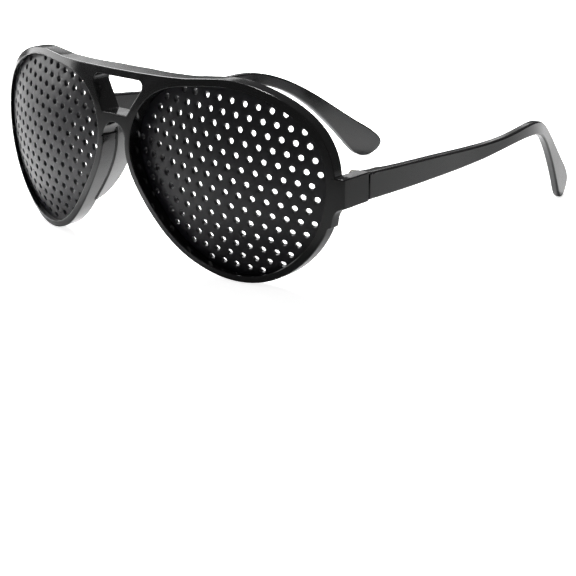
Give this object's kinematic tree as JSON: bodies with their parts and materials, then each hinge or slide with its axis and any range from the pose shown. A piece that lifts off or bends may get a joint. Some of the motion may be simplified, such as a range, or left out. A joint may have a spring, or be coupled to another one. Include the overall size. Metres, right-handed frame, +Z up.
{
  "type": "pinhole glasses",
  "caption": "Wrap-around plastic glasses with perforated opaque lenses, double bridge, moulded nose pads and folding temples on steel pin hinges.",
  "frame": {"origin": "on the ground under the middle of the glasses, which stand open on their rims and temple tips", "axes": "+Z up, -Y towards the front of the glasses, +Y towards the temple tips, +X towards the wearer's left"},
  "size_m": [0.127, 0.1662, 0.0516],
  "materials": {
    "frame_plastic": "polished injection-moulded black plastic",
    "lens_plastic": "semi-gloss black pierced plastic sheet",
    "hinge_steel": "bright stamped steel"
  },
  "bodies": {
    "front": {"front_frame": "frame_plastic", "left_lens": "lens_plastic", "right_lens": "lens_plastic", "left_front_hinge_leaf": "hinge_steel", "right_front_hinge_leaf": "hinge_steel", "left_hinge_screw": "hinge_steel", "right_hinge_screw": "hinge_steel"},
    "left_arm": {"left_temple": "frame_plastic", "left_temple_hinge_leaf": "hinge_steel"},
    "right_arm": {"right_temple": "frame_plastic", "right_temple_hinge_leaf": "hinge_steel"}
  },
  "joints": [
    {"name": "left_fold", "type": "hinge", "parent": "front", "child": "left_arm", "pos_m": [0.0584, -0.05698, 0.02731], "axis": [0, -0.0697, 0.9976], "range_deg": [0, 87]},
    {"name": "right_fold", "type": "hinge", "parent": "front", "child": "right_arm", "pos_m": [-0.0584, -0.05698, 0.02731], "axis": [0, 0.0697, -0.9976], "range_deg": [0, 79.5]}
  ]
}
